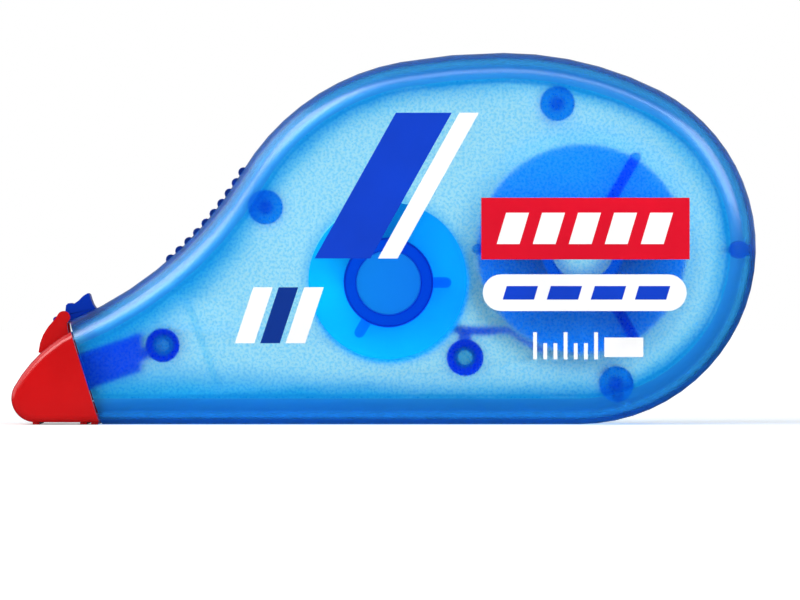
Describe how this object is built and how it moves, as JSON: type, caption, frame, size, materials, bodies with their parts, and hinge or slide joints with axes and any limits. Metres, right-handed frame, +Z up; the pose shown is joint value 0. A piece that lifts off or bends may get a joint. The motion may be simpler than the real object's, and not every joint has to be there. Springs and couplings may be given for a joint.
{
  "type": "correction tape",
  "caption": "Handheld correction tape: frosted teardrop housing with geared supply and take-up reels, a flexing applicator arm and a flip-up cap over the tip.",
  "frame": {"origin": "bottom centre of the bounding box, on the surface that the flat foot of the housing stands on", "axes": "+X from the nose to the tail, +Y from the front shell to the back shell, +Z up; all wheels and hinges turn about lines along Y"},
  "size_m": [0.088, 0.015, 0.044],
  "materials": {
    "shell": "frosted translucent blue plastic, polished over the take-up wheel",
    "dark_blue": "dark blue moulded plastic",
    "red": "opaque red moulded plastic",
    "natural": "natural acetal",
    "reel_blue": "translucent blue moulded plastic",
    "rubber": "black rubber",
    "tape": "white correction film on its backing strip",
    "liner": "bare backing strip"
  },
  "bodies": {
    "housing": {"front_shell": "shell", "back_shell": "shell", "hinge_bracket": "dark_blue", "tape_run": "tape", "liner_run": "liner"},
    "cap": {"cap": "red"},
    "applicator_arm": {"applicator": "dark_blue"},
    "supply_reel": {"supply_spool": "reel_blue", "tape_roll": "tape"},
    "drive": {"drive_gear": "natural", "clutch_ring": "rubber"},
    "take_up_reel": {"take_up_spool": "natural", "take_up_ratchet": "reel_blue", "liner_roll": "liner"},
    "guide_roller": {"guide_roller": "natural"},
    "stop_pawl": {"stop_pawl": "dark_blue"}
  },
  "joints": [
    {"name": "cap_hinge", "type": "hinge", "parent": "housing", "child": "cap", "pos_m": [-0.03791, 0, 0.01263], "axis": [0, 1, 0], "range_deg": [0, 165]},
    {"name": "applicator_flex", "type": "hinge", "parent": "housing", "child": "applicator_arm", "pos_m": [-0.02614, 0, 0.00934], "axis": [0, 1, 0], "range_deg": [0, 3], "stiffness_Nm_per_rad": 0.5, "deforming": ["tape_run", "liner_run"]},
    {"name": "supply_spin", "type": "hinge", "parent": "housing", "child": "supply_reel", "pos_m": [0.02348, 0, 0.02073], "axis": [0, 1, 0], "continuous": true},
    {"name": "drive_spin", "type": "hinge", "parent": "housing", "child": "drive", "pos_m": [0.02348, 0, 0.02073], "axis": [0, 1, 0], "continuous": true},
    {"name": "take_up_spin", "type": "hinge", "parent": "housing", "child": "take_up_reel", "pos_m": [0.00053, 0, 0.01677], "axis": [0, 1, 0], "continuous": true},
    {"name": "guide_roller_spin", "type": "hinge", "parent": "housing", "child": "guide_roller", "pos_m": [0.00958, 0, 0.0079], "axis": [0, 1, 0], "continuous": true},
    {"name": "pawl_pivot", "type": "hinge", "parent": "housing", "child": "stop_pawl", "pos_m": [0.00958, 0, 0.0079], "axis": [0, 1, 0], "range_deg": [0, 10], "stiffness_Nm_per_rad": 0.01}
  ],
  "couplings": [
    {"joint": "drive_spin", "follows": "supply_spin", "ratio": 1},
    {"joint": "take_up_spin", "follows": "supply_spin", "ratio": -1.7353},
    {"joint": "guide_roller_spin", "follows": "supply_spin", "ratio": 7.2353}
  ]
}
